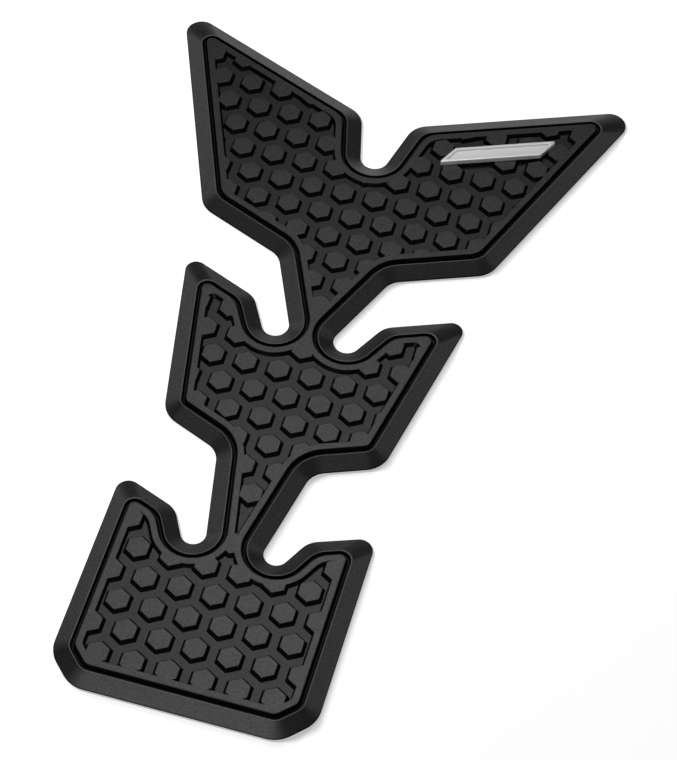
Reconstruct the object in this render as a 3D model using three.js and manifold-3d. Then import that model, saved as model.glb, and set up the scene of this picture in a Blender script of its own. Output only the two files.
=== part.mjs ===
// A motorcycle tank pad: one moulding of black rubber with three pairs of swept wings along a
// narrow spine, and a silver name plate bonded to one wing. Millimetres, +Z out of the tank.
// +Y runs up the pad, towards the widest wings, and X = 0 is its centre line.
// The origin is the middle of the back face.

import * as THREE from 'three';
import { mergeGeometries, mergeVertices } from 'three/addons/utils/BufferGeometryUtils.js';
import Module from 'manifold-3d';

// Section through the rim, from the outer edge inwards
const PAD_THICKNESS = 3.0;        // back face to the raised top
const LIP_HEIGHT = 0.35;          // upright outer edge, where the pad meets the tank
const RIM_WIDTH = 4.2;            // slope from the outer edge up to the rim's crest
const CREST_DROP = 0.5;           // crest below the raised top
const GROOVE_WIDTH = 1.35;        // groove between the crest and the raised top
const GROOVE_FLOOR_WIDTH = 0.45;
const GROOVE_DEPTH = 1.7;         // groove floor below the raised top
const BORDER_WIDTH = 1.8;         // plain border round the hexagon field

// Hexagon field
const FIELD_DEPTH = 1.25;         // field floor below the raised top
const WALL_DRAFT = 29;            // degrees, slope of the hexagons' and the field's walls
const HEX_PITCH = 9.0;            // centre to centre
const HEX_ACROSS_FLATS = 5.5;     // at the raised top
const HEX_PHASE = 1.65;           // first row of centres above the bottom edge
const NECK_PLAIN = 7.0;           // no field this far above and below the upper bays' centres

// Outline at the back face. Widths are measured from the centre line, and heights up the pad.
// Corners are sharp ones, before rounding. A bay is the round end of the slot between two wings.
const LOWER_HALF_WIDTH = 34.15;
const LOWER_CORNER_CUT = 7.6;
const LOWER_TIP_HEIGHT = 61.83;   // bottom edge to the lower wing's tip
const LOWER_SWEEP = 20.8;         // degrees, slope of the lower wing's top edge
const LOWER_SHOULDER_X = 17.7;    // where the top edge turns down into the bay
const LOWER_BAY_X = 10.97;
const LOWER_BAY_DEPTH = 5.64;     // bay centre below the shoulder
const LOWER_BAY_RADIUS = 3.28;
const WING_SWEEP = 22;            // degrees, slope of the middle and upper wings' edges
const MIDDLE_ROOT_X = 12.75;      // where the middle wing leaves the spine
const MIDDLE_ROOT_RISE = 19.97;   // above the lower shoulder
const MIDDLE_HIP_X = 29.65;
const MIDDLE_TIP_X = 39.86;
const MIDDLE_SIDE_RISE = 51.97;   // hip to tip
const MIDDLE_SHOULDER_X = 18.2;
const UPPER_BAY_X = 9.99;
const UPPER_BAY_DEPTH = 7.32;
const UPPER_BAY_RADIUS = 3.65;
const UPPER_ROOT_X = 15.89;
const UPPER_ROOT_RISE = 15.28;    // above the middle shoulder
const UPPER_HIP_X = 40.87;
const UPPER_TIP_X = 68.87;
const UPPER_SIDE_RISE = 69.6;     // hip to tip
const UPPER_SHOULDER_X = 7.62;
const NOTCH_DEPTH = 14.15;        // notch centre below the upper shoulder
const NOTCH_RADIUS = 3.96;

// Corner radii of the outline, and the least ones where it is inset
const LOWER_CORNER_RADIUS = 8.0;
const HIP_RADIUS = 7.5;
const ROOT_RADIUS = 6.0;
const SHOULDER_RADIUS = 6.3;
const LOWER_TIP_RADIUS = 3.4;
const MIDDLE_TIP_RADIUS = 2.93;
const UPPER_TIP_RADIUS = 4.4;
const UPPER_SHOULDER_RADIUS = 6.9;
const INNER_RADIUS = 2.0;
const FIELD_CORNER_RADIUS = 1.4;
const UPPER_INNER_RADIUS = 5.4;   // least radius at the upper hip and the upper shoulder

// Name plate on the right upper wing
const PLATE_LENGTH = 28.8;
const PLATE_WIDTH = 4.7;
const PLATE_THICKNESS = 1.5;
const PLATE_LEAN = 49.5;          // degrees, slope of its ends off square
const PLATE_INSET = 12.05;        // its upper edge from the wing's outer edge
const PLATE_PLACE = 0.33;         // its middle, as a share of the wing's outer edge from the shoulder
const PLATE_CORNER_RADIUS = 0.45;
const PLATE_CHAMFER = 0.25;
const PLATE_RIM_WIDTH = 0.9;
const PLATE_FIELD_DEPTH = 0.6;

const FACET_TURN = THREE.MathUtils.degToRad(11);
const CLEAR_OVER = 0.5;           // how far a cutter runs past the face it cuts through
const PAST_AXIS = 4;              // how far a half outline runs past the centre line

const { degToRad } = THREE.MathUtils;
const wasm = await Module();
wasm.setup();

// Outlines are straight edges joined by arcs, with the material on the left of travel.
// Inside the outline a corner's radius gets no smaller than its tightest.

const corner = (x, y, radius, tightest = 0) => ({ x, y, radius, tightest, bay: false });
const bay = (x, y, radius) => ({ x, y, radius, bay: true });
const edge = (heading, x, y) => ({ heading, x, y });

// The edge from corner a to corner b, tangent to whichever of them is a bay
function edgeBetween(a, b) {
  const along = Math.atan2(b.y - a.y, b.x - a.x);
  const apart = Math.hypot(b.x - a.x, b.y - a.y);
  if (b.bay) return edge(along + Math.asin(b.radius / apart), a.x, a.y);
  if (a.bay) return edge(along - Math.asin(a.radius / apart), b.x, b.y);
  return edge(along, a.x, a.y);
}

// Where two edges cross after both have moved inwards
function meet(a, b, inset) {
  const ax = a.x - Math.sin(a.heading) * inset;
  const ay = a.y + Math.cos(a.heading) * inset;
  const bx = b.x - Math.sin(b.heading) * inset;
  const by = b.y + Math.cos(b.heading) * inset;
  const across = (bx - ax) * Math.sin(b.heading) - (by - ay) * Math.cos(b.heading);
  const run = across / Math.sin(b.heading - a.heading);
  return [ax + run * Math.cos(a.heading), ay + run * Math.sin(a.heading)];
}

// How long edge k of a form is once the form has moved inwards, with its corners taken as sharp.
// Next to a bay it ends where it touches the arc. The two end edges of a form have no limit.
function edgeLength({ corners, edges }, k, inset) {
  if (k === 0 || k === corners.length) return Infinity;
  const [from, to] = [k - 1, k].map((i) => {
    const point = corners[i];
    return point.bay ? [point.x, point.y] : meet(edges[i], edges[i + 1], inset);
  });
  const { heading } = edges[k];
  return (to[0] - from[0]) * Math.cos(heading) + (to[1] - from[1]) * Math.sin(heading);
}

// A form without the edges that shrink to nothing when it moves this far inwards. The corners at
// both ends of such an edge become one, where its neighbours meet.
function shrunk(form, inset) {
  const { corners, edges } = form;
  const gone = edges.findIndex((_, k) => (
    edgeLength(form, k, inset) <= 0 && !corners[k - 1].bay && !corners[k].bay
  ));
  if (gone < 0) return form;
  const [x, y] = meet(edges[gone - 1], edges[gone + 1], 0);
  const radius = Math.min(corners[gone - 1].radius, corners[gone].radius);
  const left = {
    corners: corners.toSpliced(gone - 1, 2, corner(x, y, radius)),
    edges: edges.toSpliced(gone, 1),
  };
  return shrunk(left, inset);
}

// A form moved inwards and rounded. Outer corners tighten down to the least radius, inner corners
// and bays widen, and corners that an edge has no room for are drawn tighter.
function roundedOutline(form, inset, least) {
  const bends = form.corners.map((point, i) => {
    const [before, after] = [form.edges[i], form.edges[i + 1]];
    const turnLeft = THREE.MathUtils.euclideanModulo(after.heading - before.heading, 2 * Math.PI);
    const outwards = !point.bay && turnLeft < Math.PI;
    const turn = outwards ? turnLeft : turnLeft - 2 * Math.PI;
    const tightened = Math.max(point.radius - inset, least, point.tightest);
    const radius = outwards ? tightened : point.radius + inset;
    const reach = point.bay ? 0 : radius * Math.tan(Math.abs(turn) / 2);
    return { point, before, after, side: outwards ? 1 : -1, turn, radius, reach };
  });
  const roomOn = (k) => {
    const wanted = (bends[k - 1]?.reach ?? 0) + (bends[k]?.reach ?? 0);
    return wanted > 0 ? edgeLength(form, k, inset) / wanted : 1;
  };
  return bends.flatMap(({ point, before, after, side, turn, radius: full }, i) => {
    const radius = point.bay ? full : full * Math.min(1, roomOn(i), roomOn(i + 1));
    const [x, y] = point.bay ? [point.x, point.y] : meet(before, after, inset + side * radius);
    const steps = Math.ceil(Math.abs(turn) / FACET_TURN);
    return Array.from({ length: steps + 1 }, (_, k) => {
      const heading = before.heading + (turn * k) / steps;
      return new THREE.Vector2(
        x + side * radius * Math.sin(heading),
        y - side * radius * Math.cos(heading),
      );
    });
  });
}

// Right half of the pad's outline: from the bottom edge round the wings to the notch
const lowerShoulderY = LOWER_TIP_HEIGHT
  - (LOWER_HALF_WIDTH - LOWER_SHOULDER_X) * Math.tan(degToRad(LOWER_SWEEP));
const slope = Math.tan(degToRad(WING_SWEEP));
const middleRootY = lowerShoulderY + MIDDLE_ROOT_RISE;
const middleHipY = middleRootY + (MIDDLE_HIP_X - MIDDLE_ROOT_X) * slope;
const middleTipY = middleHipY + MIDDLE_SIDE_RISE;
const middleShoulderY = middleTipY - (MIDDLE_TIP_X - MIDDLE_SHOULDER_X) * slope;
const upperBayY = middleShoulderY - UPPER_BAY_DEPTH;
const upperRootY = middleShoulderY + UPPER_ROOT_RISE;
const upperHipY = upperRootY + (UPPER_HIP_X - UPPER_ROOT_X) * slope;
const upperTipY = upperHipY + UPPER_SIDE_RISE;
const upperShoulderY = upperTipY - (UPPER_TIP_X - UPPER_SHOULDER_X) * slope;
const notchY = upperShoulderY - NOTCH_DEPTH;

const corners = [
  corner(LOWER_HALF_WIDTH - LOWER_CORNER_CUT, 0, LOWER_CORNER_RADIUS),
  corner(LOWER_HALF_WIDTH, LOWER_CORNER_CUT, LOWER_CORNER_RADIUS),
  corner(LOWER_HALF_WIDTH, LOWER_TIP_HEIGHT, LOWER_TIP_RADIUS),
  corner(LOWER_SHOULDER_X, lowerShoulderY, SHOULDER_RADIUS, SHOULDER_RADIUS),
  bay(LOWER_BAY_X, lowerShoulderY - LOWER_BAY_DEPTH, LOWER_BAY_RADIUS),
  corner(MIDDLE_ROOT_X, middleRootY, ROOT_RADIUS),
  corner(MIDDLE_HIP_X, middleHipY, HIP_RADIUS),
  corner(MIDDLE_TIP_X, middleTipY, MIDDLE_TIP_RADIUS),
  corner(MIDDLE_SHOULDER_X, middleShoulderY, SHOULDER_RADIUS, SHOULDER_RADIUS),
  bay(UPPER_BAY_X, upperBayY, UPPER_BAY_RADIUS),
  corner(UPPER_ROOT_X, upperRootY, ROOT_RADIUS),
  corner(UPPER_HIP_X, upperHipY, HIP_RADIUS, UPPER_INNER_RADIUS),
  corner(UPPER_TIP_X, upperTipY, UPPER_TIP_RADIUS),
  corner(UPPER_SHOULDER_X, upperShoulderY, UPPER_SHOULDER_RADIUS, UPPER_INNER_RADIUS),
  bay(0, notchY, NOTCH_RADIUS),
];
const halfForm = {
  corners,
  edges: [
    edge(0, 0, 0),
    ...corners.slice(1).map((next, i) => edgeBetween(corners[i], next)),
    edge(Math.PI, 0, notchY - NOTCH_RADIUS),
  ],
};

// The half outline moved inwards, closed beyond the centre line
function halfOutline(inset, least = INNER_RADIUS, form = halfForm) {
  const arcs = roundedOutline(form, inset, least);
  const first = new THREE.Vector2(-PAST_AXIS, arcs[0].y);
  const last = new THREE.Vector2(-PAST_AXIS, arcs[arcs.length - 1].y);
  return [first, ...arcs, last];
}

// A closed body lofted through outlines of as many points each, given as { z, outline } upwards
function loft(levels) {
  const count = levels[0].outline.length;
  const positions = levels.flatMap(({ z, outline }) => outline.flatMap((p) => [p.x, p.y, z]));
  const index = [];
  for (let level = 0; level + 1 < levels.length; level += 1) {
    for (let i = 0; i < count; i += 1) {
      const a = level * count + i;
      const b = level * count + ((i + 1) % count);
      index.push(a, b, b + count, a, b + count, a + count);
    }
  }
  const top = (levels.length - 1) * count;
  THREE.ShapeUtils.triangulateShape(levels[0].outline, []).forEach(([a, b, c]) => {
    index.push(a, c, b);
  });
  THREE.ShapeUtils.triangulateShape(levels[levels.length - 1].outline, []).forEach(([a, b, c]) => {
    index.push(top + a, top + b, top + c);
  });
  const geometry = new THREE.BufferGeometry();
  geometry.setAttribute('position', new THREE.Float32BufferAttribute(positions, 3));
  geometry.setIndex(index);
  return geometry;
}

// Solids for cutting and joining, and back again

function toSolid(geometry) {
  const bare = geometry.clone();
  bare.deleteAttribute('normal');
  bare.deleteAttribute('uv');
  const merged = mergeVertices(bare, 1e-5);
  return new wasm.Manifold(new wasm.Mesh({
    numProp: 3,
    vertProperties: new Float32Array(merged.attributes.position.array),
    triVerts: new Uint32Array(merged.index.array),
  }));
}

function toGeometry(solid) {
  const mesh = solid.getMesh();
  const geometry = new THREE.BufferGeometry();
  geometry.setAttribute('position', new THREE.Float32BufferAttribute(mesh.vertProperties, 3));
  geometry.setIndex([...mesh.triVerts]);
  return geometry;
}

// The other side's geometry, with its triangles turned so that they still face outwards
function mirrored(geometry) {
  const other = geometry.clone().scale(-1, 1, 1);
  const index = other.index.array;
  for (let i = 0; i < index.length; i += 3) [index[i], index[i + 1]] = [index[i + 1], index[i]];
  return other;
}

// The rubber moulding

const rimInset = RIM_WIDTH;
const topInset = rimInset + GROOVE_WIDTH;
const fieldInset = topInset + BORDER_WIDTH;
const grooveSlope = (GROOVE_WIDTH - GROOVE_FLOOR_WIDTH) / 2;
const fieldFloor = PAD_THICKNESS - FIELD_DEPTH;
const draftAt = (z) => (PAD_THICKNESS - z) * Math.tan(degToRad(WALL_DRAFT));

// The rim's section swept round the half outline
function blank() {
  return loft([
    { z: 0, outline: halfOutline(0) },
    { z: LIP_HEIGHT, outline: halfOutline(0) },
    { z: PAD_THICKNESS - CREST_DROP, outline: halfOutline(rimInset) },
    { z: PAD_THICKNESS - GROOVE_DEPTH, outline: halfOutline(rimInset + grooveSlope) },
    { z: PAD_THICKNESS - GROOVE_DEPTH, outline: halfOutline(topInset - grooveSlope) },
    { z: PAD_THICKNESS, outline: halfOutline(topInset) },
  ]);
}

// What is cut away inside the border, before the hexagons are left standing in it
function fieldCutter() {
  const over = PAD_THICKNESS + CLEAR_OVER;
  const form = shrunk(halfForm, fieldInset + draftAt(fieldFloor));
  return loft([fieldFloor, over].map((z) => (
    { z, outline: halfOutline(fieldInset + draftAt(z), FIELD_CORNER_RADIUS, form) }
  )));
}

// Hexagons over the whole right half, each a drafted frustum with two flats facing sideways
function hexagons() {
  const low = fieldFloor - CLEAR_OVER;
  const high = PAD_THICKNESS + 2 * CLEAR_OVER;
  const radiusAt = (z) => (HEX_ACROSS_FLATS / 2 + draftAt(z)) / Math.cos(degToRad(30));
  const hexagon = new THREE.CylinderGeometry(radiusAt(high), radiusAt(low), high - low, 6);
  hexagon.rotateX(Math.PI / 2).translate(0, 0, (low + high) / 2);
  const rowPitch = HEX_PITCH * Math.cos(degToRad(30));
  const copies = [];
  for (let row = 0; HEX_PHASE + row * rowPitch < upperTipY; row += 1) {
    const start = row % 2 ? HEX_PITCH / 2 : 0;
    for (let x = start; x < UPPER_TIP_X; x += HEX_PITCH) {
      copies.push(hexagon.clone().translate(x, HEX_PHASE + row * rowPitch, 0));
    }
  }
  return mergeGeometries(copies);
}

// The narrow spine between the upper bays, where the two borders meet and leave no field
function neck() {
  const box = new THREE.BoxGeometry(2 * UPPER_BAY_X, 2 * NECK_PLAIN, 4 * PAD_THICKNESS);
  return box.translate(0, upperBayY, 0);
}

// Everything on the right of the centre line
function rightSide() {
  const box = new THREE.BoxGeometry(2 * UPPER_TIP_X, 2 * upperTipY, 4 * PAD_THICKNESS);
  return box.translate(UPPER_TIP_X, upperTipY / 2, 0);
}

function padBody() {
  const field = toSolid(fieldCutter()).subtract(toSolid(hexagons())).subtract(toSolid(neck()));
  const right = toSolid(blank()).intersect(toSolid(rightSide())).subtract(field);
  return toGeometry(right.add(toSolid(mirrored(toGeometry(right)))));
}

// The name plate: a leaning bar with a chamfered edge and a plain sunk field

// How far the upper edge lies along from the lower one
const plateLean = Math.tan(degToRad(PLATE_LEAN)) * PLATE_WIDTH;

function plateOutline(inset) {
  const lowEnd = -(PLATE_LENGTH + plateLean) / 2;
  const highEnd = lowEnd + plateLean;
  const points = [
    [lowEnd, 0],
    [lowEnd + PLATE_LENGTH, 0],
    [highEnd + PLATE_LENGTH, PLATE_WIDTH],
    [highEnd, PLATE_WIDTH],
  ];
  const ring = points.map(([x, y]) => corner(x, y, PLATE_CORNER_RADIUS));
  const sides = ring.map((point, i) => edgeBetween(ring.at(i - 1), point));
  return roundedOutline({ corners: ring, edges: [...sides, sides[0]] }, inset, PLATE_CORNER_RADIUS);
}

function plateBody() {
  const bar = loft([
    { z: 0, outline: plateOutline(0) },
    { z: PLATE_THICKNESS - PLATE_CHAMFER, outline: plateOutline(0) },
    { z: PLATE_THICKNESS, outline: plateOutline(PLATE_CHAMFER) },
  ]);
  const sunk = loft([
    { z: PLATE_THICKNESS - PLATE_FIELD_DEPTH, outline: plateOutline(PLATE_RIM_WIDTH) },
    { z: PLATE_THICKNESS + CLEAR_OVER, outline: plateOutline(PLATE_RIM_WIDTH) },
  ]);
  const plate = toGeometry(toSolid(bar).subtract(toSolid(sunk)));
  // Along the wing's outer edge, its upper edge at PLATE_INSET from it
  const wingEdge = (UPPER_TIP_X - UPPER_SHOULDER_X) / Math.cos(degToRad(WING_SWEEP));
  plate.translate(PLATE_PLACE * wingEdge, -PLATE_INSET - PLATE_WIDTH, 0);
  plate.rotateZ(degToRad(WING_SWEEP));
  return plate.translate(UPPER_SHOULDER_X, upperShoulderY, PAD_THICKNESS);
}

const rubber = new THREE.MeshStandardMaterial({ color: 0x1b1b1c, roughness: 0.62, metalness: 0 });
const silver = new THREE.MeshStandardMaterial({ color: 0xc4c6c8, roughness: 0.34, metalness: 1 });

// Heights were measured from the bottom edge: now they are from the middle of the pad
const outer = halfOutline(0).map((point) => point.y);
const middleY = (Math.min(...outer) + Math.max(...outer)) / 2;
const geometries = { pad_body: padBody(), name_plate: plateBody() };

const tankPad = new THREE.Group();
tankPad.name = 'tank_pad';
for (const [name, material] of [['pad_body', rubber], ['name_plate', silver]]) {
  const mesh = new THREE.Mesh(geometries[name].translate(0, -middleY, 0), material);
  mesh.name = name;
  tankPad.add(mesh);
}

export default tankPad;
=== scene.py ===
"""Looks of a black rubber motorcycle tank pad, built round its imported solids.

The moulding gets its outline from the solid's own back edge, with finer arcs and rounded edges, and its
field of hexagons from a Geometry Nodes tree. The silver name plate is swept the same way, and stays plain.
Object units are metres, and sizes in the code are metres too, written as so many times MM.
"""

import math

import bmesh
import bpy
import numpy as np
from bpy.props import FloatProperty, FloatVectorProperty, PointerProperty
from mathutils import Matrix, Vector


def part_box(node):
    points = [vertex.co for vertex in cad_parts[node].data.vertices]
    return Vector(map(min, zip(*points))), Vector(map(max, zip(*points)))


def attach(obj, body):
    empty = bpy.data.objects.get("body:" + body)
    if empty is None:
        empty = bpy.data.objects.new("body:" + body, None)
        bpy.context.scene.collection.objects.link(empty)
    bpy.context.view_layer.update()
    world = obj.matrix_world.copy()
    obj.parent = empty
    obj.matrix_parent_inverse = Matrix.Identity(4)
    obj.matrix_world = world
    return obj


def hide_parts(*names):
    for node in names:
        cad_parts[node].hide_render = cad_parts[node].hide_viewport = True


bl_info = {
    "name": "Tank Pad",
    "version": (1, 0, 0),
    "blender": (4, 5, 0),
    "location": "View3D > Sidebar > Tank Pad",
    "description": "Finishes a moulded rubber tank pad and its name plate over their solids",
    "category": "Object",
}

MM = 0.001
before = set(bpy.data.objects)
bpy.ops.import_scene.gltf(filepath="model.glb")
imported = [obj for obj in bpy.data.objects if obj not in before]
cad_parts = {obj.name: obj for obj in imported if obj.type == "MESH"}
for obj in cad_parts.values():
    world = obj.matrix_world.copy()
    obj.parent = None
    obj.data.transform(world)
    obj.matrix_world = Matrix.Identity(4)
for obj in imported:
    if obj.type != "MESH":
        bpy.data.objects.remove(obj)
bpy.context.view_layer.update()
pad_low, pad_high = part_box("pad_body")
PAD_TOP = pad_high.z

# Reading an outline from a solid
MERGE = 0.001 * MM             # vertices closer than this are one
ON_LINE = 0.01 * MM            # a vertex closer than this to a line is on it
STRAIGHT_LEAST = 2 * MM        # an edge longer than this is straight, and not part of an arc
LEVEL = 0.99                   # a face is level where its normal's Z is beyond this
ARC_STEP = math.radians(5)     # turn between the points of an arc
SOLID_LEAST = 2 * MM           # the raised top's least corner radius in the solid
SAME_HEADING = math.radians(1)  # edges that turn less than this are one

# Cutting and shading
ROUND_STEPS = 4                # facets across a rounded edge
NEARLY_STRAIGHT = math.radians(89)  # half a corner's angle, past which it needs no rounding
HEX_SIDES = 6
HEX_TURN = 2 * math.pi / HEX_SIDES
CORNER_POINTS = 4              # points round an upright corner of a hexagon
ROW_SHARE = math.cos(HEX_TURN / 2)  # from row to row, as a share of the hexagons' pitch
CLEAR_OVER = 0.5 * MM          # how far a cutter runs past the face it cuts through
TOP_RING = 0.5 * MM            # from the raised top's edge to its innermost ring, less than half the neck
SLIT = 0.05 * MM               # half width of the field cutter in the neck, before the neck is filled
SMOOTH_BELOW = math.radians(6)  # faces that meet at less than this shade as one

# Where a moulded surface changes, from one value to the other
LEVEL_FACES = (0.98, 0.995)    # Z of the normal, from leaning faces to level ones
STEEP_FACES = (0.7, 0.88)      # Z of the normal, from steep faces to gentle ones
HIGH_FACES = (-0.8 * MM, -0.6 * MM)  # height over the raised top, from the field's floor to what stands in it
DEEP_FACES = (-1.55 * MM, -1.45 * MM)  # the same, from the groove's floor upwards
CREST_FACES = (-0.4 * MM, -0.3 * MM)  # the same, from the rim's crest to the raised top's edge
CREST_FADE = 0.03 * MM         # height over which the crest's painted highlight fades in
LIP_FADE = 0.1 * MM            # height over which the lip's dullness fades out
LIP_DULLNESS = 0.6
NOISE_RANGE = (0.3, 0.7)       # most values of a noise lie between these
RUBBER_BUMP = {"Strength": 0.6, "Distance": 0.02 * MM}
SILVER_BUMP = {"Strength": 0.15, "Distance": 0.01 * MM}

# Stage, in metres
FLOOR_SIDE = 6.0
PAD_LIGHTS = {                 # azimuth and elevation in degrees
    "key": (345, 68),
    "rear": (0, 10),
    "rear_left": (300, 28),
    "rear_right": (60, 28),
    "front_left": (225, 50),
    "front_right": (165, 50),
    "front": (185, 30),
}
PAD_LIGHT_AWAY = 0.9
PAD_LIGHT_WIDTH = 0.45
FLOOR_LIGHTS = {
    "shadow_right": (298, 23),
    "shadow_front": (338, 23),
}
FLOOR_LIGHT_AWAY = 1.8
FLOOR_LIGHT_WIDTH = 0.22
CAMERA_PLACE = (0.10719, -0.37280, 0.55209)
CAMERA_AIM = (0.01168, -0.00454, 0.003)
CAMERA_ROLL = math.radians(1.798)


def size(label, text, value, low=0.0, high=300.0):
    """A length property. Its default and limits are given in millimetres."""
    limits = {"min": low * MM, "max": high * MM}
    shown = {"unit": "LENGTH", "precision": 5}
    return FloatProperty(name=label, description=text, default=value * MM, **shown, **limits)


def tilt(label, text, value, high=60.0):
    """An angle property. Its default and limit are given in degrees."""
    limits = {"min": 0, "max": math.radians(high)}
    return FloatProperty(name=label, description=text, default=math.radians(value), subtype="ANGLE", **limits)


def share(label, text, value):
    """A property from 0 to 1."""
    return FloatProperty(name=label, description=text, default=value, min=0, max=1, subtype="FACTOR")


def colour(label, text, value):
    """A colour property."""
    return FloatVectorProperty(name=label, description=text, default=value, min=0, max=1, subtype="COLOR")


def power(label, text, value):
    """The power of a light, in watts."""
    return FloatProperty(name=label, description=text, default=value, min=0, unit="POWER", precision=3)


class MouldingSizes(bpy.types.PropertyGroup):
    """Section and pattern of the rubber moulding."""

    lip_height: size("Lip height", "Upright outer edge, where the pad meets the tank", 0.35)
    rim_width: size("Rim width", "Slope from the outer edge up to the rim's crest", 4.2)
    crest_drop: size("Crest drop", "How far the crest lies below the raised top", 0.5)
    groove_width: size("Groove width", "From the crest to the raised top", 1.35)
    groove_floor: size("Groove floor", "Width of the groove's flat floor", 0.45)
    groove_depth: size("Groove depth", "Groove floor below the raised top", 1.7)
    border_width: size("Border width", "Plain border round the field of hexagons", 1.8)
    inner_radius: size("Inner radius", "Least corner radius of the raised top", 1.5)
    field_depth: size("Field depth", "Field floor below the raised top", 1.25)
    field_radius: size("Field radius", "Least corner radius of the field", 1.4)
    hex_pitch: size("Hexagon pitch", "From the middle of one hexagon to the next", 9.0)
    hex_across: size("Across flats", "Width of a hexagon at the raised top", 5.5)
    hex_phase: size("First row", "Middle of the first row of hexagons above the bottom edge", 1.65)
    neck_plain: size("Plain neck", "No field this far above and below the narrowest place", 7.0)
    crest_round: size("Crest rounding", "Radius of the rim's crest and lip", 0.2)
    groove_round: size("Groove rounding", "Radius of the raised top's edge along the groove", 0.3)
    top_round: size("Top rounding", "Radius of the hexagons' top edges and of the groove's foot", 0.22)
    corner_round: size("Corner rounding", "Radius of the hexagons' upright corners", 0.22)
    hex_draft: tilt("Hexagon draft", "Slope of the hexagons' walls", 29)
    field_draft: tilt("Field draft", "Slope of the walls round the field", 23)


class PlateSizes(bpy.types.PropertyGroup):
    """Section of the name plate."""

    rim_width: size("Rim width", "Flat rim round the sunk field", 0.85)
    field_depth: size("Field depth", "Depth of the sunk field", 0.6)
    edge_round: size("Edge rounding", "Radius of the plate's top edge", 0.22)
    inner_round: size("Inner rounding", "Radius of the edge round the sunk field", 0.08)


class Finishes(bpy.types.PropertyGroup):
    """Colours and surface textures."""

    rubber: colour("Rubber", "Base colour of the rubber", (0.001, 0.001, 0.00105))
    # A painted highlight: a lighter rubber colour along the rim's crest
    highlighted: colour("Rubbed rubber", "Colour of the rubber along the rubbed crest", (0.045, 0.045, 0.045))
    rubber_roughness: share("Rubber roughness", "Mean roughness of the rubber", 0.42)
    patchiness: share("Patchiness", "How far the rubber's roughness wanders in broad patches", 0.03)
    rubber_specular: share("Rubber specular", "Reflectivity without the shine", 0.05)
    shine: share("Shine", "Shine of faces that aren't steep", 0.6)
    raised_shine: share("Raised shine", "Shine added on raised faces and flanks", 0.3)
    speckle: share("Speckle", "How much the grain changes the shine", 0.3)
    grain: size("Rubber grain", "Width of one grain of the moulded surface", 0.45)
    silver: colour("Silver", "Base colour of the plating", (0.68, 0.685, 0.69))
    silver_roughness: share("Silver roughness", "Mean roughness of the plating", 0.38)
    silver_metallic: share("Silver metallic", "Share of the plating that is metal", 0.8)
    silver_grain: size("Silver grain", "Width of one grain of the plating", 1 / 3)


class StudioSettings(bpy.types.PropertyGroup):
    """Floor, light and camera. The pad lies on a light table."""

    floor: colour("Floor", "Colour of the floor", (0.9, 0.9, 0.9))
    glow: share("Glow", "Strength of the light that comes up through the floor", 0.49)
    key: power("Key light", "High behind the pad, mirrored by its raised top", 2.45)
    rear: power("Rear light", "Near the horizon behind the pad, mirrored by the far flanks", 0.32)
    rear_left: power("Rear left light", "Mirrored by the left flanks", 0.9)
    rear_right: power("Rear right light", "Mirrored by the right flanks", 1.1)
    front_left: power("Front left light", "Mirrored by the bays' sides", 0.43)
    front_right: power("Front right light", "Mirrored by the wings' front flanks", 0.4)
    front: power("Front light", "Low in front, mirrored by the bottom flank", 7.3)
    shadow_right: power("Right shadow light", "For the floor's shadow along the right flanks", 40)
    shadow_front: power("Front shadow light", "For the floor's shadow along the front flanks", 14)
    lens: FloatProperty(name="Lens", description="Focal length in millimetres", default=120.44, min=1)


# Outlines: straight edges joined by arcs, anticlockwise seen from above


def back_ring(node):
    """Points round the outer edge of a node's level underside, anticlockwise from its lowest point. Of two
    such points, the one on the left comes first."""
    mesh = bmesh.new()
    mesh.from_mesh(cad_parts[node].data)
    bmesh.ops.remove_doubles(mesh, verts=mesh.verts, dist=MERGE)
    mesh.normal_update()
    back = {face for face in mesh.faces if face.normal.z < -LEVEL}
    after = {}
    for face in back:
        for loop in face.loops:
            if loop.link_loop_radial_next.face not in back:
                after[loop.link_loop_next.vert] = loop.vert
    first = min(after, key=lambda vert: (round(vert.co.y, 6), vert.co.x))
    ring = [first]
    while after[ring[-1]] is not first:
        ring.append(after[ring[-1]])
    points = np.array([vert.co.xy for vert in ring], float)
    mesh.free()
    return points


def between(start, end):
    """The angle from one heading to another, from minus half a turn to half a turn."""
    return (end - start + math.pi) % (2 * math.pi) - math.pi


def crossing(first, second, inset_first, inset_second):
    """Where two straight edges cross after each has moved inwards."""
    points = []
    for (point, heading), inset in ((first, inset_first), (second, inset_second)):
        points.append(point + inset * np.array([-math.sin(heading), math.cos(heading)]))
    gap = points[1] - points[0]
    across = gap[0] * math.sin(second[1]) - gap[1] * math.cos(second[1])
    run = across / math.sin(second[1] - first[1])
    return points[0] + run * np.array([math.cos(first[1]), math.sin(first[1])])


def read_form(node):
    """A node's outline as straight edges, each a point and a heading, with the radius of the corner after
    each edge, and the radius that this corner doesn't go below inside the outline."""
    ring = back_ring(node)
    runs = np.roll(ring, -1, axis=0) - ring
    lengths = np.hypot(*runs.T)
    edges = []
    for point, run, length in zip(ring, runs, lengths):
        heading = math.atan2(run[1], run[0])
        if length > STRAIGHT_LEAST and not (edges and abs(between(edges[-1][1], heading)) < SAME_HEADING):
            edges.append((point, heading))
    return edges, corner_radii(edges, 0, ring), [0.0] * len(edges)


def corner_radii(edges, inset, points):
    """The radius of each corner of an outline that lies this far inside the edges, from points on it. An
    arc ends at the first point on the edge after it."""
    radii = []
    for i, edge in enumerate(edges):
        following = edges[(i + 1) % len(edges)]
        heading = following[1]
        ways = points - crossing(edge, following, inset, inset)
        along = ways @ [math.cos(heading), math.sin(heading)]
        aside = ways @ [-math.sin(heading), math.cos(heading)]
        on_edge = along[(abs(aside) < ON_LINE) & (along > ON_LINE)]
        radii.append(min(on_edge, default=0) / math.tan(abs(between(edge[1], heading)) / 2))
    return radii


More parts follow.
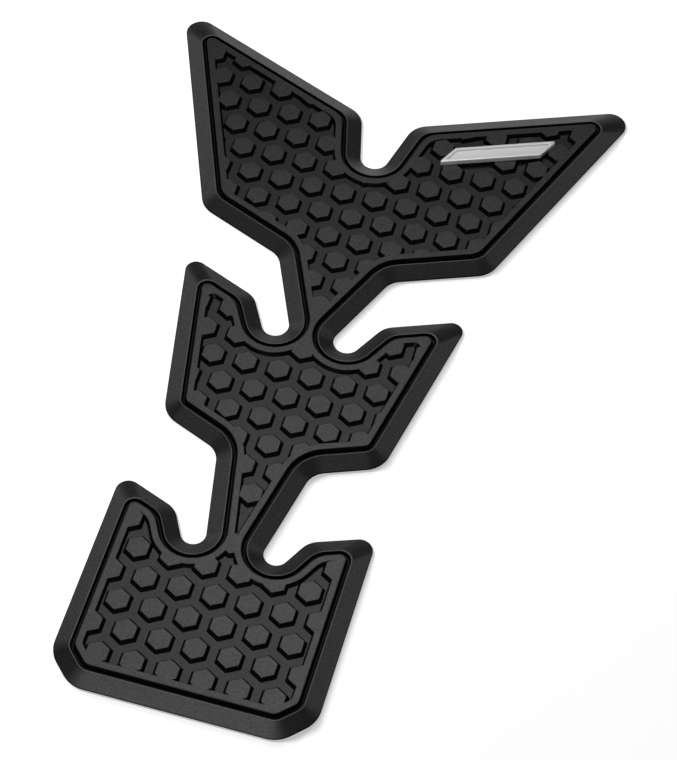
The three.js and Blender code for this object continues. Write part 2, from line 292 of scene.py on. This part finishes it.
def with_tightest(form, inset, least):
    """A form with the radii that its corners don't go below, read from the raised top's edge. Corners that
    follow the common least radius keep that alone."""
    edges, radii, _ = form
    vertices = np.array([vertex.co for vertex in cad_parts["pad_body"].data.vertices])
    level = vertices[abs(vertices[:, 2] - PAD_TOP) < MERGE, :2]
    found = corner_radii(edges, inset, level)
    return edges, radii, [radius if radius > least + ON_LINE else 0.0 for radius in found]


def outline(form, inset, least):
    """A form's outline moved inwards, as points. Outer corners tighten and inner ones widen, and outer
    corners that their edges have no room for are drawn tighter still."""
    edges, radii, tightest = form
    pairs = [(edges[i], edges[(i + 1) % len(edges)]) for i in range(len(edges))]
    turns = [between(edge[1], following[1]) for edge, following in pairs]
    sharp = [crossing(edge, following, inset, inset) for edge, following in pairs]
    wanted = []
    for turn, radius, lowest in zip(turns, radii, tightest):
        tightened = max(radius - inset, min(radius, max(least, lowest)))
        wanted.append(radius + inset if turn < 0 else tightened)

    def room(i):
        """The share of what its outer corners want that the edge before corner i has."""
        heading = edges[i][1]
        left = (sharp[i] - sharp[i - 1]) @ [math.cos(heading), math.sin(heading)]
        reaches = [wanted[k] * math.tan(turns[k] / 2) for k in (i - 1, i)]
        outer = sum(reach for reach in reaches if reach > 0)
        return min(1, (left + sum(reaches) - outer) / outer) if outer > 0 else 1

    points = []
    for i, (edge, following) in enumerate(pairs):
        side = math.copysign(1, turns[i])
        radius = wanted[i]
        if side > 0:
            radius *= min(room(i), room((i + 1) % len(edges)))
        centre = crossing(edge, following, inset + side * radius, inset + side * radius)
        steps = 2 * math.ceil(abs(turns[i]) / ARC_STEP / 2)
        for k in range(steps + 1):
            angle = edge[1] + turns[i] * k / steps
            points.append(centre + side * radius * np.array([math.sin(angle), -math.cos(angle)]))
    return np.array(points)


# Closed bodies swept through rings


def rounded_rings(rings, section, rounds):
    """Rings with Z, upwards or inwards along a section of (inset, z), each inner corner of it rounded to its
    radius. A point of a rounding is a blend of the ring at the corner and the rings on both sides of it."""
    levels = [np.column_stack([ring, np.full(len(ring), z)]) for ring, (_, z) in zip(rings, section)]
    made = [levels[0]]
    for k in range(1, len(levels) - 1):
        here = np.array(section[k])
        before, after = np.array(section[k - 1]) - here, np.array(section[k + 1]) - here
        to_before, to_after = before / np.linalg.norm(before), after / np.linalg.norm(after)
        middle = to_before + to_after
        half = math.acos(np.clip(to_before @ to_after, -1, 1)) / 2
        if rounds[k] == 0 or half > NEARLY_STRAIGHT:
            made.append(levels[k])
            continue
        centre = middle / np.linalg.norm(middle) * rounds[k] / math.sin(half)
        start = to_before * rounds[k] / math.tan(half) - centre
        end = to_after * rounds[k] / math.tan(half) - centre
        sweep = math.pi - 2 * half
        for step in range(ROUND_STEPS + 1):
            turned = sweep * step / ROUND_STEPS
            arm = (math.sin(sweep - turned) * start + math.sin(turned) * end) / math.sin(sweep)
            u, v = np.linalg.solve(np.column_stack([before, after]), centre + arm)
            made.append(levels[k] + u * (levels[k - 1] - levels[k]) + v * (levels[k + 1] - levels[k]))
    return [*made, levels[-1]]


def swept_mesh(name, rings):
    """A closed mesh through rings of as many points each, from the underside to the top."""
    count = len(rings[0])
    faces = [list(range(count))[::-1]]
    for level in range(len(rings) - 1):
        low, high = level * count, (level + 1) * count
        for i in range(count):
            j = (i + 1) % count
            faces.append([low + i, low + j, high + j, high + i])
    faces.append([(len(rings) - 1) * count + i for i in range(count)])
    mesh = bpy.data.meshes.new(name)
    mesh.from_pydata(np.vstack(rings).tolist(), [], faces)
    mesh.update()
    return mesh


def add_object(name, mesh, material=None):
    piece = bpy.data.objects.new(name, mesh)
    bpy.context.scene.collection.objects.link(piece)
    if material:
        piece.data.materials.append(material)
    return piece


# The rubber moulding


def moulding_blank(form, sizes):
    """The moulding before its field is cut: rim, groove and raised top. The groove keeps its width round
    the corners."""
    floor = PAD_TOP - sizes.groove_depth
    slope = (sizes.groove_width - sizes.groove_floor) / 2
    top_inset = sizes.rim_width + sizes.groove_width
    section = [
        (0, pad_low.z),
        (0, pad_low.z + sizes.lip_height),
        (sizes.rim_width, PAD_TOP - sizes.crest_drop),
        (sizes.rim_width + slope, floor),
        (top_inset - slope, floor),
        (top_inset, PAD_TOP),
        (top_inset + TOP_RING, PAD_TOP),
    ]
    rings = [outline(form, inset, sizes.inner_radius + max(0, top_inset - inset)) for inset, _ in section]
    crest, foot, edge = sizes.crest_round, sizes.top_round, sizes.groove_round
    rounds = [0, crest, crest, foot, foot, edge, 0]
    return swept_mesh("moulding_blank", rounded_rings(rings, section, rounds))


def wall_section(sizes, draft, low):
    """A drafted wall upwards from Z low, as (distance out from the edge at the raised top, z). Its top
    rounds over, passes through the raised top at a small angle and ends above it."""
    turn = math.pi / 2 - draft
    radius = sizes.top_round
    reach = radius * math.tan(turn / 2)
    points = [((low - PAD_TOP) * math.tan(draft), low)]
    for step in range(ROUND_STEPS):
        angle = turn * (1 - step / ROUND_STEPS)
        points.append((reach - radius * math.sin(angle), PAD_TOP - radius * (1 - math.cos(angle))))
    last = turn / ROUND_STEPS / 2
    points.append((reach + CLEAR_OVER * math.cos(last), PAD_TOP + CLEAR_OVER * math.sin(last)))
    points.append((points[-1][0], PAD_TOP + 2 * CLEAR_OVER))
    return points


def narrowest(form):
    """Y of the moulding's narrowest neck, level with the middles of its two bays."""
    edges, radii, _ = form
    found = []
    for i, (_, heading) in enumerate(edges):
        following = edges[(i + 1) % len(edges)]
        if between(heading, following[1]) < 0:
            x, y = crossing(edges[i], following, -radii[i], -radii[i])
            if x > radii[i]:
                found.append((x - radii[i], y))
    return min(found)[1]


def field_cutter(form, sizes, neck_y):
    """What is cut away inside the border. In the neck, where its two sides would cross, it is a slit."""
    edge = sizes.rim_width + sizes.groove_width + sizes.border_width
    rings = []
    for offset, z in wall_section(sizes, sizes.field_draft, PAD_TOP - sizes.field_depth):
        points = outline(form, edge - offset, sizes.field_radius)
        right = np.arange(len(points)) < len(points) / 2
        neck = abs(points[:, 1] - neck_y) < sizes.neck_plain
        points[right & neck, 0] = np.maximum(points[right & neck, 0], SLIT)
        points[~right & neck, 0] = np.minimum(points[~right & neck, 0], -SLIT)
        rings.append(np.column_stack([points, np.full(len(points), z)]))
    return swept_mesh("field_cutter", rings)


def hexagon_column(sizes):
    """One hexagon from below the field floor to above the raised top. Two of its flats face sideways."""
    rings = []
    for offset, z in wall_section(sizes, sizes.hex_draft, PAD_TOP - sizes.field_depth - CLEAR_OVER):
        flat = sizes.hex_across / 2 - offset
        middle = (flat - sizes.corner_round) / math.cos(HEX_TURN / 2)
        ring = []
        for corner in range(HEX_SIDES):
            heading = HEX_TURN * (corner + 0.5)
            for swing in np.linspace(-HEX_TURN / 2, HEX_TURN / 2, CORNER_POINTS):
                angle = heading + swing
                ring.append((
                    middle * math.cos(heading) + sizes.corner_round * math.cos(angle),
                    middle * math.sin(heading) + sizes.corner_round * math.sin(angle),
                    z,
                ))
        rings.append(np.array(ring))
    return swept_mesh("hexagon_column", rings)


class NodeTree:
    """Adds nodes to a tree and links them."""

    def __init__(self, tree):
        self.tree = tree

    def input(self, name, kind, value=None):
        socket = self.tree.interface.new_socket(name, in_out="INPUT", socket_type=kind)
        if value is not None:
            socket.default_value = value

    def output(self, name, kind):
        self.tree.interface.new_socket(name, in_out="OUTPUT", socket_type=kind)

    def add(self, kind, inputs=(), **settings):
        """A node with its settings, and each of its inputs, by name or number, linked or given a value."""
        node = self.tree.nodes.new(kind)
        for key, value in settings.items():
            setattr(node, key, value)
        for key, value in dict(inputs).items():
            if isinstance(value, bpy.types.NodeSocket):
                self.tree.links.new(value, node.inputs[key])
            else:
                node.inputs[key].default_value = value
        return node


def hexagon_tree():
    """Cuts a field of standing hexagons into a moulding."""
    nodes = NodeTree(bpy.data.node_groups.new("hexagon_field", "GeometryNodeTree"))
    nodes.input("Moulding", "NodeSocketGeometry")
    nodes.input("Field", "NodeSocketObject")
    nodes.input("Neck Middle", "NodeSocketVector")
    nodes.input("Neck Size", "NodeSocketVector")
    nodes.input("Hexagon", "NodeSocketObject")
    nodes.input("Pitch", "NodeSocketFloat")
    nodes.input("First Row", "NodeSocketFloat")
    nodes.input("Rows", "NodeSocketInt", 2)
    nodes.input("Columns", "NodeSocketInt", 3)
    nodes.input("Smooth Below", "NodeSocketFloat")
    nodes.input("Material", "NodeSocketMaterial")
    nodes.output("Geometry", "NodeSocketGeometry")
    given = nodes.add("NodeGroupInput").outputs

    def sums(operation, first, second):
        return nodes.add("ShaderNodeMath", {0: first, 1: second}, operation=operation).outputs[0]

    def cut(body, tool):
        meshes = {"Mesh 1": body, "Mesh 2": tool}
        node = nodes.add("GeometryNodeMeshBoolean", meshes, operation="DIFFERENCE", solver="MANIFOLD")
        return node.outputs["Mesh"]

    field = nodes.add("GeometryNodeObjectInfo", {"Object": given["Field"]}).outputs["Geometry"]
    box = nodes.add("GeometryNodeMeshCube", {"Size": given["Neck Size"]}).outputs["Mesh"]
    placed = nodes.add("GeometryNodeTransform", {"Geometry": box, "Translation": given["Neck Middle"]})
    field = cut(field, placed.outputs["Geometry"])

    # A grid of points, every second row moved half a pitch sideways
    row_pitch = sums("MULTIPLY", given["Pitch"], ROW_SHARE)
    width = sums("MULTIPLY", sums("SUBTRACT", given["Columns"], 1.0), given["Pitch"])
    height = sums("MULTIPLY", sums("SUBTRACT", given["Rows"], 1.0), row_pitch)
    grid = nodes.add("GeometryNodeMeshGrid", {
        "Size X": width,
        "Size Y": height,
        "Vertices X": given["Columns"],
        "Vertices Y": given["Rows"],
    }).outputs["Mesh"]
    place = nodes.add("ShaderNodeSeparateXYZ", {0: nodes.add("GeometryNodeInputPosition").outputs[0]})
    from_first = sums("ADD", place.outputs["Y"], sums("MULTIPLY", height, 0.5))
    row = sums("ROUND", sums("DIVIDE", from_first, row_pitch), 0.0)
    shift = sums("MULTIPLY", sums("MODULO", row, 2.0), sums("MULTIPLY", given["Pitch"], 0.5))
    up = sums("ADD", given["First Row"], sums("MULTIPLY", height, 0.5))
    offset = nodes.add("ShaderNodeCombineXYZ", {"X": shift, "Y": up}).outputs[0]
    points = nodes.add("GeometryNodeSetPosition", {"Geometry": grid, "Offset": offset}).outputs[0]

    one = nodes.add("GeometryNodeObjectInfo", {"Object": given["Hexagon"], "As Instance": True})
    many = nodes.add("GeometryNodeInstanceOnPoints", {"Points": points, "Instance": one.outputs["Geometry"]})
    hexagons = nodes.add("GeometryNodeRealizeInstances", {0: many.outputs["Instances"]}).outputs["Geometry"]
    body = cut(given["Moulding"], cut(field, hexagons))

    angle = nodes.add("GeometryNodeInputMeshEdgeAngle").outputs["Unsigned Angle"]
    compared = {0: angle, 1: given["Smooth Below"]}
    sharp = nodes.add("FunctionNodeCompare", compared, operation="GREATER_THAN").outputs[0]
    body = nodes.add("GeometryNodeSetShadeSmooth", {"Geometry": body, "Shade Smooth": True}).outputs[0]
    edges = {"Geometry": body, "Selection": sharp, "Shade Smooth": False}
    body = nodes.add("GeometryNodeSetShadeSmooth", edges, domain="EDGE").outputs[0]
    body = nodes.add("GeometryNodeRealizeInstances", {0: body}).outputs[0]
    body = nodes.add("GeometryNodeSetMaterial", {0: body, "Material": given["Material"]}).outputs[0]
    nodes.add("NodeGroupOutput", {0: body})
    return nodes.tree


def applied(piece, tree, values):
    """The plain mesh that a tree makes of a piece, with the tree's inputs given by name."""
    modifier = piece.modifiers.new("pattern", "NODES")
    modifier.node_group = tree
    for item in tree.interface.items_tree:
        if item.in_out == "INPUT" and item.name in values:
            modifier[item.identifier] = values[item.name]
    depsgraph = bpy.context.evaluated_depsgraph_get()
    depsgraph.update()
    mesh = bpy.data.meshes.new_from_object(piece.evaluated_get(depsgraph), depsgraph=depsgraph)
    piece.modifiers.remove(modifier)
    return mesh


class TANK_PAD_OT_moulding(bpy.types.Operator):
    """Makes the rubber moulding over its solid"""

    bl_idname = "tank_pad.moulding"
    bl_label = "Rubber Moulding"
    bl_options = {"REGISTER", "UNDO"}

    def execute(self, context):
        sizes = context.scene.tank_pad_moulding
        top_inset = sizes.rim_width + sizes.groove_width
        form = with_tightest(read_form("pad_body"), top_inset, SOLID_LEAST)
        piece = add_object("rubber_moulding", moulding_blank(form, sizes))
        neck_y = narrowest(form)
        cutter = add_object("field_cutter", field_cutter(form, sizes, neck_y))
        column = add_object("hexagon_column", hexagon_column(sizes))
        # The neck's box is wider than the neck and taller than the pad. The lattice more than covers the pad.
        rows = math.ceil((pad_high.y - pad_low.y) / (sizes.hex_pitch * ROW_SHARE)) + 1
        columns = 2 * math.ceil(pad_high.x / sizes.hex_pitch) + 3
        mesh = applied(piece, hexagon_tree(), {
            "Field": cutter,
            "Neck Middle": (0, neck_y, PAD_TOP),
            "Neck Size": (pad_high.x / 2, 2 * sizes.neck_plain, 4 * PAD_TOP),
            "Hexagon": column,
            "Pitch": sizes.hex_pitch,
            "First Row": pad_low.y + sizes.hex_phase,
            "Rows": rows,
            "Columns": columns,
            "Smooth Below": SMOOTH_BELOW,
            "Material": rubber_material(context.scene.tank_pad_finishes),
        })
        mesh.name = "rubber_moulding"
        piece.data = mesh
        for tool in (cutter, column):
            bpy.data.objects.remove(tool)
        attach(piece, "root")
        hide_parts("pad_body")
        return {"FINISHED"}


# The name plate


def plate_mesh(form, sizes):
    """A bar with a rounded top edge and a plain sunk field, whose innermost ring lies past the rounding at
    its wall's foot."""
    low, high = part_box("name_plate")
    floor = high.z - sizes.field_depth
    foot = sizes.rim_width + sizes.inner_round
    section = [
        (0, low.z),
        (0, high.z),
        (sizes.rim_width, high.z),
        (foot, floor),
        (foot + 3 * sizes.inner_round, floor),
    ]
    rings = [outline(form, inset, sizes.edge_round) for inset, _ in section]
    rounds = [0, sizes.edge_round, sizes.inner_round, sizes.inner_round, 0]
    return swept_mesh("name_plate", rounded_rings(rings, section, rounds))


def shade(mesh):
    """Smooth faces, with edges sharper than SMOOTH_BELOW kept sharp."""
    mesh.shade_smooth()
    mesh.set_sharp_from_angle(angle=SMOOTH_BELOW)


class TANK_PAD_OT_plate(bpy.types.Operator):
    """Makes the silver name plate over its solid"""

    bl_idname = "tank_pad.plate"
    bl_label = "Name Plate"
    bl_options = {"REGISTER", "UNDO"}

    def execute(self, context):
        mesh = plate_mesh(read_form("name_plate"), context.scene.tank_pad_plate)
        shade(mesh)
        piece = add_object("silver_plate", mesh, silver_material(context.scene.tank_pad_finishes))
        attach(piece, "root")
        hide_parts("name_plate")
        return {"FINISHED"}


# Finishes


def mapped(nodes, value, span, results):
    """A value turned from its place in one span into the same place in another, and kept inside it."""
    ends = {"From Min": span[0], "From Max": span[1], "To Min": results[0], "To Max": results[1]}
    return nodes.add("ShaderNodeMapRange", {"Value": value, **ends}).outputs["Result"]


def surface_group():
    """What shows on moulded surfaces: fine grain, broad faint patches, and masks of their raised faces, of
    the dull ones and of the rim's crest, which gets a painted highlight. Faces are dull where they are steep,
    at the bottom of the groove and along the lip. Top, Lip and Crest are in metres, the last over the top."""
    name = "moulded_surface"
    if name in bpy.data.node_groups:
        return bpy.data.node_groups[name]
    nodes = NodeTree(bpy.data.node_groups.new(name, "ShaderNodeTree"))
    nodes.input("Grains per Metre", "NodeSocketFloat", 2000)
    nodes.input("Patches per Metre", "NodeSocketFloat", 60)
    nodes.input("Top", "NodeSocketFloat", PAD_TOP)
    nodes.input("Lip", "NodeSocketFloat", 0.4 * MM)
    nodes.input("Crest", "NodeSocketFloat", -0.65 * MM)
    for output in ("Grain", "Patches", "Raised", "Dull", "Rubbed"):
        nodes.output(output, "NodeSocketFloat")
    given = nodes.add("NodeGroupInput").outputs
    place = nodes.add("ShaderNodeTexCoord").outputs

    def noise(scale, detail):
        inputs = {"Vector": place["Object"], "Scale": scale, "Detail": detail, "Roughness": 0.6}
        return nodes.add("ShaderNodeTexNoise", inputs).outputs["Fac"]

    def ramp(value, span, at_low=0.0, at_high=1.0):
        return mapped(nodes, value, span, (at_low, at_high))

    def sums(operation, first, second, clamp=False):
        node = nodes.add("ShaderNodeMath", {0: first, 1: second}, operation=operation, use_clamp=clamp)
        return node.outputs[0]

    height = nodes.add("ShaderNodeSeparateXYZ", {0: place["Object"]}).outputs["Z"]
    upright = nodes.add("ShaderNodeSeparateXYZ", {0: place["Normal"]}).outputs["Z"]
    over_top = sums("SUBTRACT", height, given["Top"])
    leaning = ramp(upright, LEVEL_FACES, 1.0, 0.0)
    steep = ramp(upright, STEEP_FACES, 1.0, 0.0)
    high = sums("MAXIMUM", ramp(over_top, HIGH_FACES), leaning)
    deep = sums("SUBTRACT", ramp(over_top, DEEP_FACES, 1.0, 0.0), leaning, clamp=True)
    lip = ramp(height, (given["Lip"], sums("ADD", given["Lip"], LIP_FADE)), LIP_DULLNESS, 0.0)
    dull = sums("MAXIMUM", steep, sums("MAXIMUM", deep, lip))
    raised = sums("SUBTRACT", high, dull, clamp=True)
    # The band along the rim's crest, where a painted highlight lightens the rubber's colour
    above_flank = ramp(over_top, (given["Crest"], sums("ADD", given["Crest"], CREST_FADE)))
    crest = sums("MULTIPLY", above_flank, ramp(over_top, CREST_FACES, 1.0, 0.0))
    highlighted = sums("SUBTRACT", crest, dull, clamp=True)
    grain = noise(given["Grains per Metre"], detail=3.0)
    patches = noise(given["Patches per Metre"], detail=4.0)
    nodes.add("NodeGroupOutput", {0: grain, 1: patches, 2: raised, 3: dull, 4: highlighted})
    return nodes.tree


def new_material(name):
    """A new material, its node tree and its Principled shader."""
    material = bpy.data.materials.new(name)
    material.use_nodes = True
    return material, NodeTree(material.node_tree), material.node_tree.nodes["Principled BSDF"]


def spread(nodes, value, middle, reach):
    """A noise value turned into one that lies this far round a middle."""
    return mapped(nodes, value, NOISE_RANGE, (middle - reach, middle + reach))


def rubber_material(finish):
    """Black rubber that shines where the mould was polished: most on raised faces and flanks, and not on
    dull faces."""
    material, nodes, shader = new_material("black_rubber")
    given = {"Grains per Metre": 1 / finish.grain}
    surface = nodes.add("ShaderNodeGroup", given, node_tree=surface_group()).outputs
    shine = mapped(nodes, surface["Dull"], (0.0, 1.0), (finish.shine, 0.0))
    parts = {0: surface["Raised"], 1: finish.raised_shine, 2: shine}
    polish = nodes.add("ShaderNodeMath", parts, operation="MULTIPLY_ADD").outputs[0]
    uneven = spread(nodes, surface["Grain"], 1.0, finish.speckle)
    coat = nodes.add("ShaderNodeMath", {0: polish, 1: uneven}, operation="MULTIPLY").outputs[0]
    # Lighter colour along the crest, a painted highlight
    colours = {"Factor": surface["Rubbed"], 6: (*finish.rubber, 1), 7: (*finish.highlighted, 1)}
    base = nodes.add("ShaderNodeMix", colours, data_type="RGBA").outputs[2]
    rough = spread(nodes, surface["Patches"], finish.rubber_roughness, finish.patchiness)
    bump = nodes.add("ShaderNodeBump", {"Height": surface["Grain"], **RUBBER_BUMP}).outputs["Normal"]
    nodes.tree.links.new(base, shader.inputs["Base Color"])
    nodes.tree.links.new(rough, shader.inputs["Roughness"])
    nodes.tree.links.new(coat, shader.inputs["Coat Weight"])
    nodes.tree.links.new(bump, shader.inputs["Normal"])
    shader.inputs["Specular IOR Level"].default_value = finish.rubber_specular
    shader.inputs["Coat Roughness"].default_value = finish.rubber_roughness
    return material


def silver_material(finish):
    """Satin plating with a faint sparkle."""
    material, nodes, shader = new_material("satin_silver")
    given = {"Grains per Metre": 1 / finish.silver_grain, "Top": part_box("name_plate")[1].z}
    surface = nodes.add("ShaderNodeGroup", given, node_tree=surface_group()).outputs
    bump = nodes.add("ShaderNodeBump", {"Height": surface["Grain"], **SILVER_BUMP}).outputs["Normal"]
    nodes.tree.links.new(bump, shader.inputs["Normal"])
    shader.inputs["Base Color"].default_value = (*finish.silver, 1)
    shader.inputs["Roughness"].default_value = finish.silver_roughness
    shader.inputs["Metallic"].default_value = finish.silver_metallic
    return material


# Stage


def soft_light(name, place, energy, lit):
    """A round light that faces the pad and lights one collection alone. Its place is its azimuth, clockwise
    from +Y, and its elevation, both in degrees, then how far off and how wide it is."""
    azimuth, elevation, distance, width = place
    light = bpy.data.lights.new(name, "AREA")
    light.shape = "DISK"
    light.size = width
    light.energy = energy
    lamp = bpy.data.objects.new(name, light)
    around, up = math.radians(azimuth), math.radians(elevation)
    way = Vector((math.sin(around) * math.cos(up), math.cos(around) * math.cos(up), math.sin(up)))
    lamp.location = way * distance
    lamp.rotation_euler = way.to_track_quat("Z", "Y").to_euler()
    lamp.light_linking.receiver_collection = lit
    bpy.context.scene.collection.objects.link(lamp)


def lit_group(name, pieces):
    """A collection for light linking. It isn't part of the scene."""
    group = bpy.data.collections.new(name)
    for piece in pieces:
        group.objects.link(piece)
    return group


class TANK_PAD_OT_studio(bpy.types.Operator):
    """Makes the floor, the lights and the camera"""

    bl_idname = "tank_pad.studio"
    bl_label = "Studio"
    bl_options = {"REGISTER", "UNDO"}

    def execute(self, context):
        settings = context.scene.tank_pad_studio
        floor_mesh = bpy.data.meshes.new("floor")
        half = FLOOR_SIDE / 2
        corners = [(-half, -half, 0), (half, -half, 0), (half, half, 0), (-half, half, 0)]
        floor_mesh.from_pydata(corners, [], [(0, 1, 2, 3)])
        material, _, shader = new_material("studio_floor")
        shader.inputs["Base Color"].default_value = (*settings.floor, 1)
        shader.inputs["Roughness"].default_value = 0.9
        shader.inputs["Specular IOR Level"].default_value = 0
        shader.inputs["Emission Color"].default_value = (1, 1, 1, 1)
        shader.inputs["Emission Strength"].default_value = settings.glow
        floor = add_object("floor", floor_mesh, material)

        world = bpy.data.worlds.new("studio_sky")
        world.use_nodes = True
        world.node_tree.nodes["Background"].inputs["Strength"].default_value = 0
        context.scene.world = world

        pieces = [thing for thing in context.scene.objects if thing.type == "MESH" and thing is not floor]
        lit_pad = lit_group("lit_pad", pieces)
        lit_floor = lit_group("lit_floor", [floor])
        for name, angles in PAD_LIGHTS.items():
            place = (*angles, PAD_LIGHT_AWAY, PAD_LIGHT_WIDTH)
            soft_light(name, place, getattr(settings, name), lit_pad)
        for name, angles in FLOOR_LIGHTS.items():
            place = (*angles, FLOOR_LIGHT_AWAY, FLOOR_LIGHT_WIDTH)
            soft_light(name, place, getattr(settings, name), lit_floor)

        camera = bpy.data.objects.new("camera", bpy.data.cameras.new("camera"))
        camera.data.lens = settings.lens
        camera.location = CAMERA_PLACE
        ahead = (Vector(CAMERA_AIM) - Vector(CAMERA_PLACE)).to_track_quat("-Z", "Y").to_matrix()
        camera.rotation_euler = (ahead @ Matrix.Rotation(CAMERA_ROLL, 3, "Z")).to_euler()
        context.scene.collection.objects.link(camera)
        context.scene.camera = camera
        context.scene.view_settings.view_transform = "Standard"
        return {"FINISHED"}


class TANK_PAD_PT_panel(bpy.types.Panel):
    """Lists the pieces and their sizes"""

    bl_label = "Tank Pad"
    bl_idname = "TANK_PAD_PT_panel"
    bl_space_type = "VIEW_3D"
    bl_region_type = "UI"
    bl_category = "Tank Pad"

    def draw(self, context):
        for operator, group in PANEL_ROWS:
            box = self.layout.box()
            if operator:
                box.operator(operator)
            settings = getattr(context.scene, group)
            for name in settings.bl_rna.properties.keys():
                if name not in ("rna_type", "name"):
                    box.prop(settings, name)


PANEL_ROWS = [
    ("tank_pad.moulding", "tank_pad_moulding"),
    ("tank_pad.plate", "tank_pad_plate"),
    (None, "tank_pad_finishes"),
    ("tank_pad.studio", "tank_pad_studio"),
]
SETTINGS = {
    "tank_pad_moulding": MouldingSizes,
    "tank_pad_plate": PlateSizes,
    "tank_pad_finishes": Finishes,
    "tank_pad_studio": StudioSettings,
}
CLASSES = (
    *SETTINGS.values(),
    TANK_PAD_OT_moulding,
    TANK_PAD_OT_plate,
    TANK_PAD_OT_studio,
    TANK_PAD_PT_panel,
)


def register():
    for cls in CLASSES:
        bpy.utils.register_class(cls)
    for name, group in SETTINGS.items():
        setattr(bpy.types.Scene, name, PointerProperty(type=group))


def unregister():
    for name in SETTINGS:
        delattr(bpy.types.Scene, name)
    for cls in reversed(CLASSES):
        bpy.utils.unregister_class(cls)


def main():
    register()
    bpy.ops.tank_pad.moulding()
    bpy.ops.tank_pad.plate()
    bpy.ops.tank_pad.studio()


if __name__ == "__main__":
    main()
